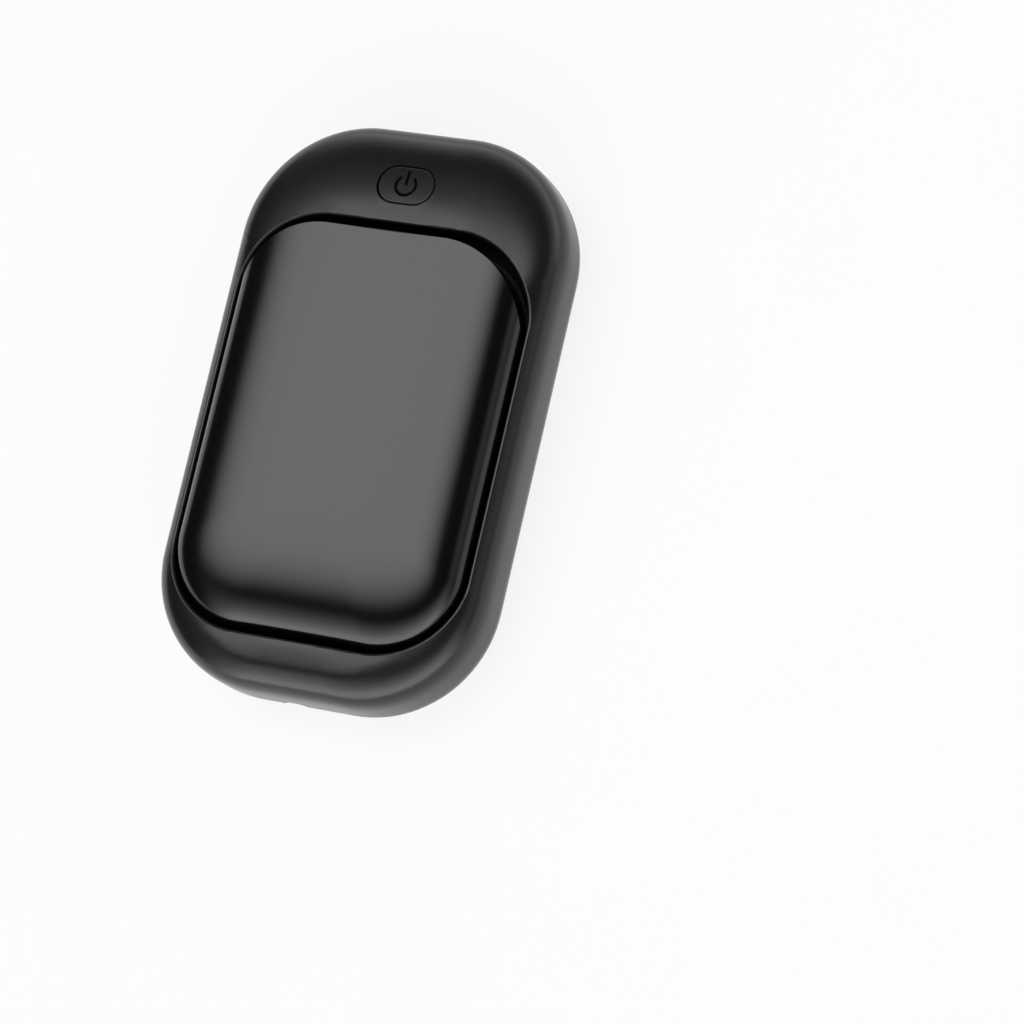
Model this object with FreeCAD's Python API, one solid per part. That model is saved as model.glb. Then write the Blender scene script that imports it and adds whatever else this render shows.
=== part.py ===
import FreeCAD, Part
import math
import os

# Rechargeable hand warmer: a pebble-shaped two-part case with a raised heating plate, lying on its back.
# Millimetres. X is the width, Y the length with the button end at +Y, Z is up through the plate.
# The origin is under the middle of the case, on the surface that the four feet stand on.

os.makedirs("parts", exist_ok=True)
V = FreeCAD.Vector
TINY = 1e-6

# Case
case_width = 60.0
case_length = 100.8
case_corner_radius = 21.5
case_wall = 1.8
back_height = 6.3
back_edge_radius = 5.0
back_floor = 1.8
front_height = 10.6
front_power = 4.2
front_tail_share = 0.28
tongue_height = 1.2
tongue_thickness = 0.8
fit_clearance = 0.15
overrun = 2.0

# Plate opening in the front shell, with the ledge that carries the plate
opening_side_band = 3.2
opening_button_band = 18.3
opening_inlet_band = 9.0
opening_corner_radius = 15.1
opening_lip_radius = 0.45
channel_wall = 1.4
ledge_rise = 4.8
ledge_thickness = 1.4
ledge_width = 4.2
window_corner_radius = 6.0

# Heating plate, hollowed in two steps from below
plate_gap = 0.5
plate_head_gap = 2.0
plate_height = 8.4
plate_power = 3.6
plate_head_corner_radius = 15.8
plate_head_edge_radius = 0.7
plate_trim = 0.3
plate_roof = 2.4
plate_rim = 2.1
plate_step_depth = 1.8
plate_roof_share = 0.8
gasket_thickness = 0.5
gasket_width = 2.0

# Feet, with the case screws that they cover
foot_rise = 1.0
foot_spacing_x = 35.9
foot_end_inset = 12.5
foot_diameter = 5.2
foot_recess_diameter = 5.9
foot_recess_depth = 1.5
foot_dome_radius = 1.7
boss_diameter = 8.4
front_boss_diameter = 5.6
screw_diameter = 2.0
screw_head_diameter = 3.8
screw_head_height = 1.2
screw_head_room = 1.4
screw_hole_play = 0.4
screw_pilot_depth = 4.2
screw_end_room = 0.3
screw_drive_width = 1.6
screw_drive_depth = 0.6

# Heater, insulation, cell and tray
film_thickness = 0.25
film_margin = 0.8
film_tail_length = 2.2
insulation_margin = 0.8
tray_rise = 1.7
tray_floor = 1.2
tray_wall = 1.2
tray_wall_height = 1.6
tray_clearance = 0.3
tray_end_clearance = 1.6
tray_corner_radius = 4.0
tray_post_diameter = 3.6
tray_pin_diameter = 2.2
cell_pad_thickness = 0.4
cell_pad_margin = 4.0
cell_thickness = 6.0
cell_clearance = 0.2
cell_lead_gap = 1.15
cell_edge_radius = 1.2
cell_tab_width = 4.0
cell_tab_thickness = 0.2
protection_board_width = 15.0
protection_board_height = 4.6
protection_board_thickness = 0.8
protection_board_gap = 1.6

# Main board and its components
board_thickness = 1.0
board_standoff = 1.8
board_length = 38.0
board_clearance = 0.5
board_end_gap = 3.1
board_corner_radius = 2.0
board_screw_inset = 2.4
board_boss_diameter = 4.2
small_screw_diameter = 1.4
small_screw_head_diameter = 2.6
small_screw_head_height = 0.9
small_screw_depth = 3.2
small_drive_width = 0.9
small_drive_depth = 0.4
inductor_width = 6.8
inductor_height = 2.6
inductor_core_diameter = 5.4
inductor_groove_width = 0.5
inductor_groove_depth = 0.5
controller_width = 5.0
controller_height = 1.0
microcontroller_width = 4.0
microcontroller_height = 0.9
transistor_width = 5.0
transistor_length = 4.0
transistor_height = 1.4
capacitor_width = 1.6
capacitor_length = 3.2
capacitor_height = 1.5
resistor_width = 0.8
resistor_length = 1.6
resistor_height = 0.5

# Charging inlet in the end wall opposite the button
inlet_x = -2.2
inlet_rise = 3.9
inlet_diameter = 5.0
inlet_recess = 1.8
socket_width = 5.8
socket_length = 8.0
socket_height = 3.9
socket_face_inset = 4.6
socket_nose_diameter = 4.6
socket_bore_diameter = 2.6
socket_sleeve_wall = 0.2
socket_sleeve_length = 6.0
socket_sleeve_relief = 0.6
socket_back_bore_diameter = 2.3
socket_bore_depth = 9.0
socket_ear_width = 1.4
socket_ear_length = 3.0
socket_ear_thickness = 0.5
tip_contact_diameter = 1.6
tip_contact_length = 0.8

# Power button, its board and the switch under it
button_inset = 11.3
button_width = 10.2
button_height = 6.7
button_gap = 0.25
button_edge_radius = 0.25
button_travel = 0.3
button_flange = 0.8
button_flange_thickness = 0.8
button_flange_gap = 0.15
button_stem_diameter = 3.0
icon_diameter = 4.2
icon_stroke = 0.55
icon_bar_length = 2.7
icon_gap_angle = 38.0
button_board_side_gap = 2.15
button_board_length = 10.0
button_post_inset = 3.6
button_post_diameter = 3.6
switch_width = 4.6
switch_height = 1.4
switch_cavity_diameter = 3.6
switch_cover_thickness = 0.3
switch_cover_hole_diameter = 2.5
switch_play = 0.05
plunger_diameter = 2.0
plunger_flange_diameter = 3.1
plunger_flange_thickness = 0.35
plunger_stand = 0.6
dome_diameter = 3.2
dome_thickness = 0.08
dome_pressed_height = 0.25
ribbon_width = 4.0
ribbon_thickness = 0.4
ribbon_bend_radius = 1.6

# Leads
power_lead_diameter = 0.9
sense_lead_diameter = 0.6
lead_bend_radius = 1.9
lead_exit_rise = 3.4
thermistor_width = 2.8
thermistor_length = 1.5
thermistor_height = 1.2

# Places on the main board, as shares of its width and length from its middle
inductor_place_shares = (0.24, 0.1)
controller_place_shares = (-0.24, -0.02)
microcontroller_place_shares = (-0.26, 0.24)
transistor_place_shares = (0.26, -0.12)
capacitor_place_shares = ((-0.02, 0.04), (-0.02, 0.18), (-0.4, 0.1), (0.42, -0.02))
resistor_place_shares = ((-0.4, 0.32), (-0.1, 0.3), (-0.06, -0.1), (0.08, -0.14), (0.4, 0.28))
cell_lead_place_shares = {"positive": 0.12, "negative": 0.3}
heater_lead_place_shares = {"left": -0.4, "right": -0.3}
thermistor_lead_place_shares = {"left": -0.25, "right": -0.19}
tray_post_length_share = 0.34

# Angles of a pillow's sections, as shares of a right angle from its rim to its top
pillow_shares = (0, 0.02, 0.06, 0.13, 0.22, 0.33, 0.46, 0.6, 0.74, 0.86, 0.94, 0.98)

# Levels
back_z = foot_rise
floor_z = back_z + back_floor
parting_z = back_z + back_height
ledge_top_z = parting_z + ledge_rise
ledge_bottom_z = ledge_top_z - ledge_thickness
plate_base_z = ledge_top_z + gasket_thickness
plate_top_z = plate_base_z + plate_height
plate_roof_z = plate_top_z - plate_roof
plate_step_z = plate_roof_z - plate_step_depth
film_bottom_z = plate_roof_z - film_thickness
front_top_z = parting_z + front_height
board_bottom_z = floor_z + board_standoff
board_top_z = board_bottom_z + board_thickness
tray_bottom_z = parting_z + tray_rise
tray_top_z = tray_bottom_z + tray_floor
cell_bottom_z = tray_top_z + cell_pad_thickness
cell_top_z = cell_bottom_z + cell_thickness
button_board_top_z = tray_bottom_z + board_thickness
inlet_z = back_z + inlet_rise

# Sizes that follow from the case, the opening and the feet
inner_width = case_width - 2 * case_wall
inner_length = case_length - 2 * case_wall
inner_corner_radius = case_corner_radius - case_wall
end_y = -case_length / 2
opening_width = case_width - 2 * opening_side_band
opening_length = case_length - opening_button_band - opening_inlet_band
opening_middle_y = (opening_inlet_band - opening_button_band) / 2
foot_spacing_y = case_length - 2 * foot_end_inset
button_y = case_length / 2 - button_inset
button_board_width = foot_spacing_x - front_boss_diameter - 2 * button_board_side_gap
button_post_x = button_board_width / 2 - button_post_inset
window_width = opening_width - 2 * ledge_width
window_length = opening_length - 2 * ledge_width
window_end_y = opening_middle_y - window_length / 2
plate_width = opening_width - 2 * plate_gap
plate_length = opening_length - plate_gap - plate_head_gap
plate_middle_y = opening_middle_y - (plate_head_gap - plate_gap) / 2
plate_corner_radius = opening_corner_radius - plate_gap
roof_width = plate_width * plate_roof_share
roof_length = plate_length * plate_roof_share
roof_corner_radius = plate_corner_radius * plate_roof_share
film_width = roof_width - 2 * film_margin
film_length = roof_length - 2 * film_margin
film_corner_radius = roof_corner_radius - film_margin
film_end_y = opening_middle_y - film_length / 2
tray_width = window_width - 2 * tray_clearance
tray_length = window_length - 2 * tray_end_clearance
tray_end_y = opening_middle_y - tray_length / 2
cell_width = tray_width - 2 * tray_wall - 2 * cell_clearance
tail_y = film_end_y + film_tail_length / 2
cell_start_y = tail_y + cell_lead_gap
cell_finish_y = tray_end_y + tray_length - tray_wall - cell_clearance
cell_length = cell_finish_y - cell_start_y
cell_middle_y = (cell_start_y + cell_finish_y) / 2
board_width = foot_spacing_x - boss_diameter - 2 * board_clearance
board_start_y = end_y + case_wall + board_end_gap
board_middle_y = board_start_y + board_length / 2
lead_drop_y = (tray_end_y + window_end_y) / 2
lead_exit_z = tray_top_z + lead_exit_rise
dome_rise = button_travel + dome_pressed_height
switch_floor = switch_height - plunger_flange_thickness - 2 * switch_play - dome_rise
tray_post_x = (board_width + tray_width) / 4
tray_post_y = tray_length * tray_post_length_share
board_screw_x = board_width / 2 - board_screw_inset
board_screw_y = board_length / 2 - board_screw_inset
foot_places = {
    "left_front": (-foot_spacing_x / 2, -foot_spacing_y / 2),
    "right_front": (foot_spacing_x / 2, -foot_spacing_y / 2),
    "left_rear": (-foot_spacing_x / 2, foot_spacing_y / 2),
    "right_rear": (foot_spacing_x / 2, foot_spacing_y / 2),
}
tray_post_places = [
    (side * tray_post_x, opening_middle_y + end * tray_post_y)
    for side in (-1, 1)
    for end in (-1, 1)
]
board_screw_places = [
    (side * board_screw_x, board_middle_y + end * board_screw_y)
    for side in (-1, 1)
    for end in (-1, 1)
]
button_post_places = [(-button_post_x, button_y), (button_post_x, button_y)]


def rounded_wire(width, length, radius, z, middle_y=0, middle_x=0):
    """A closed rounded rectangle at one level, as four arcs with straight runs between them."""
    reach_x = width / 2 - radius
    reach_y = length / 2 - radius
    arcs = []
    for quarter, (side, end) in enumerate(((1, 1), (-1, 1), (-1, -1), (1, -1))):
        center = V(middle_x + side * reach_x, middle_y + end * reach_y, z)
        angles = [math.radians(90 * quarter + turn) for turn in (0, 45, 90)]
        arcs.append([center + V(radius * math.cos(a), radius * math.sin(a), 0) for a in angles])
    edges = []
    for arc, following in zip(arcs, arcs[1:] + arcs[:1]):
        edges.append(Part.Arc(*arc).toShape())
        if (following[0] - arc[2]).Length > TINY:
            edges.append(Part.LineSegment(arc[2], following[0]).toShape())
    return Part.Wire(edges)


def prism(width, length, radius, bottom_z, top_z, middle_y=0, middle_x=0):
    """An upright rounded rectangular block."""
    wire = rounded_wire(width, length, radius, bottom_z, middle_y, middle_x)
    return Part.Face(wire).extrude(V(0, 0, top_z - bottom_z))


def superellipse(power):
    """The scale and rise of each section of a dome, both as shares of its full size."""
    angles = [math.radians(90 * share) for share in pillow_shares]
    return [(math.cos(angle) ** (2 / power), math.sin(angle) ** (2 / power)) for angle in angles]


def pillow(width, length, radius, base_z, height, power, tail_share):
    """A dome over a rounded rectangle, whose sections come in less at the tail, which is its -Y end."""
    wires = []
    for scale, rise in superellipse(power):
        inset = length * (1 - scale) / 2
        tail_inset = inset * tail_share
        wires.append(rounded_wire(width * scale, length - inset - tail_inset, radius * scale,
                                  base_z + height * rise, (tail_inset - inset) / 2))
    return Part.makeLoft(wires, True, False)


def cushion(width, length, radius, base_z, height, power, middle_y):
    """A dome whose sides come in equally all round, so that its shoulder runs parallel to its rim."""
    wires = []
    for scale, rise in superellipse(power):
        inset = width * (1 - scale)
        wires.append(rounded_wire(width - inset, length - inset, radius * scale, base_z + height * rise,
                                  middle_y))
    return Part.makeLoft(wires, True, False)


def pillow_rise(share, height, power):
    """How high a pillow stands where its plan is scaled by the share."""
    return height * (1 - share ** power) ** (1 / power)


def cylinder(diameter, place, bottom_z, top_z):
    """An upright cylinder at a place in plan."""
    return Part.makeCylinder(diameter / 2, top_z - bottom_z, V(place[0], place[1], bottom_z))


def lying_cylinder(diameter, x, z, start_y, finish_y):
    """A cylinder along Y."""
    return Part.makeCylinder(diameter / 2, finish_y - start_y, V(x, start_y, z), V(0, 1, 0))


def block(width, length, height, place, bottom_z):
    """An upright box, centred in plan on its place."""
    return Part.makeBox(width, length, height, V(place[0] - width / 2, place[1] - length / 2, bottom_z))


def fuse(first, others):
    """One solid from several that meet."""
    return first.fuse(others).removeSplitter()


def board_place(shares):
    """A place on the main board from its shares."""
    return (shares[0] * board_width, board_middle_y + shares[1] * board_length)


def bent_path(points, bend_radius):
    """Straight runs joined by tangent arcs of one radius."""
    edges = []
    start = points[0]
    for before, corner, after in zip(points, points[1:], points[2:]):
        towards = (before - corner).normalize()
        away = (after - corner).normalize()
        half = towards.getAngle(away) / 2
        middle = (towards + away).normalize()
        center = corner + middle * (bend_radius / math.sin(half))
        reach = bend_radius / math.tan(half)
        arc = (corner + towards * reach, center - middle * bend_radius, corner + away * reach)
        edges.append(Part.LineSegment(start, arc[0]).toShape())
        edges.append(Part.Arc(*arc).toShape())
        start = arc[2]
    edges.append(Part.LineSegment(start, points[-1]).toShape())
    return Part.Wire(edges)


def swept(name, points, profile, area, bend_radius):
    """A section carried along a bent path, with its volume compared with section times length."""
    path = bent_path(points, bend_radius)
    solid = path.makePipeShell([profile], True, False)
    ratio = solid.Volume / (area * path.Length)
    print(f"{name}: bend radius {bend_radius:.2f}, length {path.Length:.1f}, volume ratio {ratio:.4f}")
    return solid


def lead(name, points, diameter):
    """A round lead along its route."""
    circle = Part.Circle(points[0], points[1] - points[0], diameter / 2)
    area = math.pi * diameter ** 2 / 4
    return swept(name, points, Part.Wire([circle.toShape()]), area, lead_bend_radius)


def screw(place, seat_z, top_z, diameter, head_diameter, head_height, drive_width, drive_depth, direction):
    """A pan-head screw whose head lies on its seat, with a square drive recess in the head."""
    head_z = seat_z - direction * head_height
    head = cylinder(head_diameter, place, min(seat_z, head_z), max(seat_z, head_z))
    shank = cylinder(diameter, place, min(seat_z, top_z), max(seat_z, top_z))
    recess_z = head_z if direction > 0 else head_z - drive_depth
    recess = block(drive_width, drive_width, drive_depth, place, recess_z)
    return head.fuse(shank).removeSplitter().cut(recess)


def save(name, shape):
    """One node of the part, as a file of its own."""
    shape.exportStep(f"parts/{name}.step")
    print(f"{name}: {len(shape.Solids)} solid, {shape.Volume:.1f} mm3, valid {shape.isValid()}")


def outer_dome():
    return pillow(case_width, case_length, case_corner_radius, parting_z, front_height, front_power,
                  front_tail_share)


def inner_dome():
    height = front_height - case_wall
    return pillow(inner_width, inner_length, inner_corner_radius, parting_z, height, front_power,
                  front_tail_share)


def opening_prism(grow, bottom_z, top_z):
    """The plate opening, grown sideways by an offset."""
    width = opening_width + 2 * grow
    length = opening_length + 2 * grow
    return prism(width, length, opening_corner_radius + grow, bottom_z, top_z, opening_middle_y)


def window_prism(bottom_z, top_z):
    return prism(window_width, window_length, window_corner_radius, bottom_z, top_z, opening_middle_y)


def button_prism(grow, bottom_z, top_z):
    """The pill shape of the button, grown sideways by an offset."""
    width = button_width + 2 * grow
    height = button_height + 2 * grow
    return prism(width, height, height / 2, bottom_z, top_z, button_y)


def rounded_lip(shell):
    """The shell with its edge round the plate opening rolled over."""
    low_z = ledge_top_z + opening_lip_radius
    edges = []
    for edge in shell.Edges:
        box = edge.BoundBox
        beside = abs(box.XMax) < opening_width / 2 + TINY and abs(box.XMin) < opening_width / 2 + TINY
        upright = box.ZLength > max(box.XLength, box.YLength)
        if beside and not upright and box.ZMin > low_z and box.ZMax < front_top_z:
            edges.append(edge)
    return shell.makeFillet(opening_lip_radius, edges)


def tongue_rebate():
    """The ring-shaped room for the back cover's tongue, with clearance on every side of it."""
    inset = case_wall - tongue_thickness - fit_clearance
    top_z = parting_z + tongue_height + fit_clearance
    ring = prism(case_width - 2 * inset, case_length - 2 * inset, case_corner_radius - inset,
                 parting_z - overrun, top_z)
    return ring.cut(prism(inner_width - 2 * fit_clearance, inner_length - 2 * fit_clearance,
                          inner_corner_radius - fit_clearance, parting_z - 2 * overrun, top_z + overrun))


def front_shell():
    """The front half of the case: dome, plate ledge, screw bosses and button board posts."""
    outer = outer_dome()
    opening = opening_prism(0, ledge_top_z, front_top_z + overrun)
    shell = rounded_lip(outer.cut(opening))
    collar = opening_prism(channel_wall, ledge_bottom_z, front_top_z + overrun)
    shell = shell.cut(inner_dome().cut(collar))
    shell = shell.cut(window_prism(parting_z - overrun, front_top_z + overrun))
    columns = [cylinder(front_boss_diameter, place, parting_z, front_top_z)
               for place in foot_places.values()]
    columns += [cylinder(button_post_diameter, place, button_board_top_z, front_top_z)
                for place in button_post_places]
    lip_room = opening_prism(channel_wall / 2, ledge_top_z, front_top_z + overrun)
    shell = fuse(shell, [column.common(outer).cut(lip_room) for column in columns])
    pilot_top_z = parting_z + screw_pilot_depth
    holes = [cylinder(screw_diameter + fit_clearance, place, parting_z - overrun, pilot_top_z)
             for place in foot_places.values()]
    holes.append(tongue_rebate())
    holes += [cylinder(small_screw_diameter + fit_clearance, place, button_board_top_z - overrun,
                       button_board_top_z + small_screw_depth) for place in button_post_places]
    holes.append(button_prism(button_gap, button_board_top_z, front_top_z))
    return shell.cut(holes)


def back_cover():
    """The back half of the case: tray with rounded edges, foot recesses, bosses, posts and the inlet."""
    cover = prism(case_width, case_length, case_corner_radius, back_z, parting_z)
    cover = cover.makeFillet(back_edge_radius, [e for e in cover.Edges if e.BoundBox.ZMax < back_z + TINY])
    hollow = prism(inner_width, inner_length, inner_corner_radius, floor_z, parting_z + overrun)
    inner_edges = [e for e in hollow.Edges if e.BoundBox.ZMax < floor_z + TINY]
    cover = cover.cut(hollow.makeFillet(back_edge_radius - case_wall, inner_edges))
    inset = 2 * (case_wall - tongue_thickness)
    tongue = prism(case_width - inset, case_length - inset, case_corner_radius - inset / 2,
                   parting_z - tongue_height, parting_z + tongue_height)
    tongue = tongue.cut(prism(inner_width, inner_length, inner_corner_radius,
                              parting_z - overrun, parting_z + overrun))
    root_z = back_z + back_floor / 2
    bosses = [cylinder(boss_diameter, place, root_z, parting_z) for place in foot_places.values()]
    bosses += [cylinder(board_boss_diameter, place, root_z, board_bottom_z) for place in board_screw_places]
    bosses += [cylinder(tray_post_diameter, place, root_z, tray_bottom_z) for place in tray_post_places]
    bosses += [cylinder(tray_pin_diameter, place, tray_bottom_z - back_floor, tray_top_z)
               for place in tray_post_places]
    cover = fuse(cover, [tongue] + bosses)
    seat_z = back_z + foot_recess_depth + screw_head_room
    holes = []
    for place in foot_places.values():
        holes.append(cylinder(foot_recess_diameter, place, back_z - overrun, back_z + foot_recess_depth))
        holes.append(cylinder(screw_head_diameter + screw_hole_play, place, back_z, seat_z))
        holes.append(cylinder(screw_diameter + screw_hole_play, place, back_z, parting_z + overrun))
    for place in board_screw_places:
        holes.append(cylinder(small_screw_diameter + fit_clearance, place, root_z, board_bottom_z + overrun))
    holes.append(lying_cylinder(inlet_diameter, inlet_x, inlet_z, end_y - overrun, end_y + socket_face_inset))
    return cover.cut(holes)


def heating_plate():
    """The raised aluminium plate: a cushion cut off steeply at the button end, and hollowed from below."""
    run = plate_width / 2
    plate = cushion(plate_width, plate_length + run, plate_corner_radius, plate_base_z, plate_height,
                    plate_power, plate_middle_y + run / 2)
    trim = prism(plate_width + 2 * plate_trim, plate_length + run, plate_head_corner_radius,
                 plate_base_z - overrun, plate_top_z, plate_middle_y - run / 2)
    crown = [e for e in trim.Edges if e.BoundBox.ZMin > plate_top_z - TINY]
    trim = trim.makeFillet(plate_head_edge_radius, crown)
    plate = plate.common(trim)
    low = prism(plate_width - 2 * plate_rim, plate_length - 2 * plate_rim, plate_corner_radius - plate_rim,
                plate_base_z - overrun, plate_step_z, plate_middle_y)
    high = prism(roof_width, roof_length, roof_corner_radius, plate_base_z, plate_roof_z, opening_middle_y)
    return plate.cut([low, high])


def plate_gasket():
    """The adhesive ring between the plate's rim and the ledge."""
    ring = prism(plate_width, plate_length, plate_corner_radius, ledge_top_z, plate_base_z, plate_middle_y)
    return ring.cut(prism(plate_width - 2 * gasket_width, plate_length - 2 * gasket_width,
                          plate_corner_radius - gasket_width, ledge_top_z - overrun, plate_base_z + overrun,
                          plate_middle_y))


def foot(place):
    """A rubber foot: a plug with a domed end that is flat where it stands."""
    plug = cylinder(foot_diameter, place, 0, back_z + foot_recess_depth)
    return plug.makeFillet(foot_dome_radius, [e for e in plug.Edges if e.BoundBox.ZMax < TINY])


def case_screws():
    seat_z = back_z + foot_recess_depth + screw_head_room
    top_z = parting_z + screw_pilot_depth - screw_end_room
    return Part.makeCompound([
        screw(place, seat_z, top_z, screw_diameter, screw_head_diameter, screw_head_height,
              screw_drive_width, screw_drive_depth, 1)
        for place in foot_places.values()
    ])


def small_screws(places, seat_z, end_z, direction):
    return Part.makeCompound([
        screw(place, seat_z, end_z, small_screw_diameter, small_screw_head_diameter, small_screw_head_height,
              small_drive_width, small_drive_depth, direction)
        for place in places
    ])


def heater_film():
    return prism(film_width, film_length, film_corner_radius, film_bottom_z, plate_roof_z, opening_middle_y)


def insulation_pad():
    """Foam that presses the film against the plate; it stops short of the film's tail."""
    start_y = film_end_y + film_tail_length
    finish_y = opening_middle_y + film_length / 2 - insulation_margin
    width = film_width - 2 * insulation_margin
    return prism(width, finish_y - start_y, film_corner_radius - insulation_margin, cell_top_z, film_bottom_z,
                 (start_y + finish_y) / 2)


def cell_tray():
    """The tray under the cell: open at the lead end, cut back at the case bosses and pinned to four posts."""
    tray = prism(tray_width, tray_length, tray_corner_radius, tray_bottom_z, tray_top_z + tray_wall_height,
                 opening_middle_y)
    inside = prism(tray_width - 2 * tray_wall, tray_length - 2 * tray_wall, tray_corner_radius - tray_wall,
                   tray_top_z, tray_top_z + tray_wall_height + overrun, opening_middle_y)
    mouth = block(board_width + 2 * fit_clearance, 2 * tray_wall, tray_wall_height + overrun,
                  (0, tray_end_y), tray_top_z)
    pins = [cylinder(tray_pin_diameter + fit_clearance, place, tray_bottom_z - overrun, tray_top_z + overrun)
            for place in tray_post_places]
    reliefs = [cylinder(front_boss_diameter + 2 * tray_clearance, place, tray_bottom_z - overrun,
                        tray_top_z + tray_wall_height + overrun) for place in foot_places.values()]
    return tray.cut([inside, mouth] + pins + reliefs)


def battery_cell():
    """A flat pouch cell with soft edges."""
    cell = prism(cell_width, cell_length, cell_edge_radius * 2, cell_bottom_z, cell_top_z, cell_middle_y)
    return cell.makeFillet(cell_edge_radius, [e for e in cell.Edges if e.BoundBox.ZLength < TINY])


def cell_pad():
    return block(cell_width - 2 * cell_pad_margin, cell_length - 2 * cell_pad_margin, cell_pad_thickness,
                 (0, cell_middle_y), tray_top_z)


def protection_board_place():
    """The upright board at the lead end of the cell, centred between the two cell leads."""
    middle_share = sum(cell_lead_place_shares.values()) / len(cell_lead_place_shares)
    y = cell_start_y - protection_board_gap - protection_board_thickness / 2
    return (middle_share * board_width, y)


def protection_board():
    return block(protection_board_width, protection_board_thickness, protection_board_height,
                 protection_board_place(), tray_top_z)


def cell_tab(share):
    """A nickel strip from the cell to the protection board."""
    middle_y = cell_start_y - protection_board_gap / 2
    middle_z = (cell_bottom_z + tray_top_z + protection_board_height) / 2
    place = (share * board_width, middle_y)
    return block(cell_tab_width, protection_board_gap, cell_tab_thickness, place, middle_z)


def main_board():
    """The charging and heating board, with a notch for the socket."""
    board = prism(board_width, board_length, board_corner_radius, board_bottom_z, board_top_z, board_middle_y)
    socket_end_y = end_y + socket_face_inset + socket_length + fit_clearance
    notch = Part.makeBox(socket_width + 2 * fit_clearance, socket_end_y - board_start_y + overrun,
                         board_thickness + 2 * overrun,
                         V(inlet_x - socket_width / 2 - fit_clearance, board_start_y - overrun,
                           board_bottom_z - overrun))
    holes = [cylinder(small_screw_diameter + fit_clearance, place, board_bottom_z - overrun,
                      board_top_z + overrun) for place in board_screw_places]
    return board.cut([notch] + holes)


def power_inductor():
    """A square shielded choke with its round core showing as a shallow ring."""
    place = board_place(inductor_place_shares)
    body = block(inductor_width, inductor_width, inductor_height, place, board_top_z)
    upright = [e for e in body.Edges if e.BoundBox.ZLength > TINY]
    body = body.makeChamfer((inductor_width - inductor_core_diameter) / 2, upright)
    top_z = board_top_z + inductor_height
    groove_z = top_z - inductor_groove_depth
    groove = cylinder(inductor_core_diameter, place, groove_z, top_z + overrun)
    core_diameter = inductor_core_diameter - 2 * inductor_groove_width
    return body.cut(groove.cut(cylinder(core_diameter, place, groove_z, top_z + overrun)))


def chip(width, length, height, shares):
    """A flat moulded package on the main board, with chamfered upper edges."""
    body = block(width, length, height, board_place(shares), board_top_z)
    upper = [e for e in body.Edges if e.BoundBox.ZMin > board_top_z + height - TINY]
    return body.makeChamfer(height / 5, upper)


def charge_socket():
    """The inlet's moulded body, with a round nose in the case wall and ears on the board."""
    face_y = end_y + socket_face_inset
    place = (inlet_x, face_y + socket_length / 2)
    body = block(socket_width, socket_length, socket_height, place, inlet_z - socket_height / 2)
    nose = lying_cylinder(socket_nose_diameter, inlet_x, inlet_z, end_y + inlet_recess, face_y + inlet_recess)
    nose_corner = V(inlet_x - socket_nose_diameter / 2, face_y, inlet_z - socket_nose_diameter / 2)
    nose = nose.cut(Part.makeBox(socket_nose_diameter, socket_length, socket_nose_diameter, nose_corner))
    ears_width = socket_width + 2 * socket_ear_width
    ears = block(ears_width, socket_ear_length, socket_ear_thickness, place, board_top_z)
    sleeve_diameter = socket_bore_diameter + 2 * socket_sleeve_wall
    seat = lying_cylinder(sleeve_diameter, inlet_x, inlet_z, end_y - overrun,
                          end_y + inlet_recess + socket_sleeve_length + socket_sleeve_relief)
    bore = lying_cylinder(socket_back_bore_diameter, inlet_x, inlet_z, end_y - overrun,
                          end_y + inlet_recess + socket_bore_depth)
    return fuse(body, [nose, ears]).cut([seat, bore])


def charge_sleeve():
    """The contact sleeve that lines the mouth of the inlet."""
    start_y = end_y + inlet_recess
    finish_y = start_y + socket_sleeve_length
    tube = lying_cylinder(socket_bore_diameter + 2 * socket_sleeve_wall, inlet_x, inlet_z, start_y, finish_y)
    bore = lying_cylinder(socket_bore_diameter, inlet_x, inlet_z, start_y - overrun, finish_y + overrun)
    return tube.cut(bore)


def charge_tip_contact():
    """The contact at the bottom of the inlet."""
    finish_y = end_y + inlet_recess + socket_bore_depth
    return lying_cylinder(tip_contact_diameter, inlet_x, inlet_z, finish_y - tip_contact_length, finish_y)


def power_symbol():
    """The broken ring and bar of the common power symbol, as round cutters lying along the key's surface."""
    radius = icon_stroke / 2
    ring = Part.makeTorus(icon_diameter / 2 - radius, radius)
    spread = icon_diameter * math.tan(math.radians(icon_gap_angle))
    wedge = Part.makePolygon([V(0, 0, -icon_stroke), V(spread, icon_diameter, -icon_stroke),
                              V(-spread, icon_diameter, -icon_stroke), V(0, 0, -icon_stroke)])
    ring = ring.cut(Part.Face(wedge).extrude(V(0, 0, 2 * icon_stroke)))
    bar = Part.makeCylinder(radius, icon_bar_length, V(0, 0, 0), V(0, 1, 0))
    symbol = Part.makeCompound([ring, bar])
    near, middle, far = [pillow_rise(2 * (button_y + shift) / case_length, front_height, front_power)
                         for shift in (-icon_diameter / 2, 0, icon_diameter / 2)]
    symbol.rotate(V(0, 0, 0), V(1, 0, 0), math.degrees(math.atan2(far - near, icon_diameter)))
    return symbol.translated(V(0, button_y, parting_z + middle))


def button_flange_bottom_z():
    """The underside of the flange, set by where the shell's inside is lowest above it."""
    far_y = button_y + button_height / 2 + button_flange
    rise = pillow_rise(2 * far_y / inner_length, front_height - case_wall, front_power)
    return parting_z + rise - button_flange_gap - button_flange_thickness


def plunger_top_z():
    return button_board_top_z + switch_height + switch_cover_thickness + plunger_stand


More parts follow.
